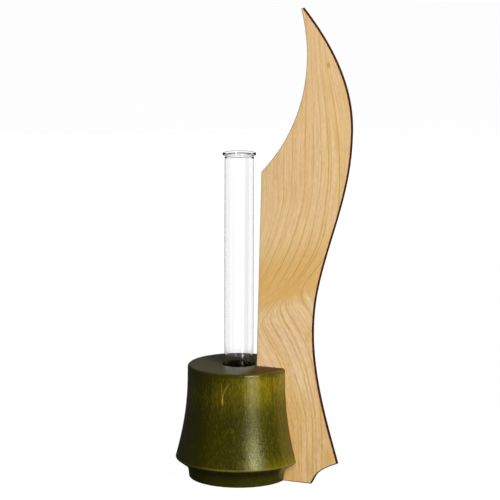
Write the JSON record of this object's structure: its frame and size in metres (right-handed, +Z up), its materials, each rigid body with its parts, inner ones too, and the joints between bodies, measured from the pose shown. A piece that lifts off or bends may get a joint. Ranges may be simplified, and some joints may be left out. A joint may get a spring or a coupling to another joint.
{
  "type": "bud vase",
  "caption": "Bud vase: a turned wooden base with a glass tube in its socket beside a tall curved wooden blade.",
  "frame": {"origin": "centre of the base's flat underside, on the floor and on the tube's axis", "axes": "+Z up along the axis of the base and the tube; the flat blade stands in the XZ plane on the +X side; Y is square to the blade, with its front face towards -Y"},
  "size_m": [0.1318, 0.0912, 0.3418],
  "materials": {
    "stained_wood": "satin",
    "pale_veneer": "satin",
    "sheet_core": "matte",
    "clear_glass": "polished"
  },
  "bodies": {
    "stand": {"turned_base": "stained_wood", "blade_core": "sheet_core", "blade_front_veneer": "pale_veneer", "blade_back_veneer": "pale_veneer"},
    "tube": {"glass_tube": "clear_glass"}
  },
  "joints": [
    {"name": "tube_lift", "type": "slide", "parent": "stand", "child": "tube", "axis": [0, 0, 1], "range_m": [0, 0.05]}
  ]
}
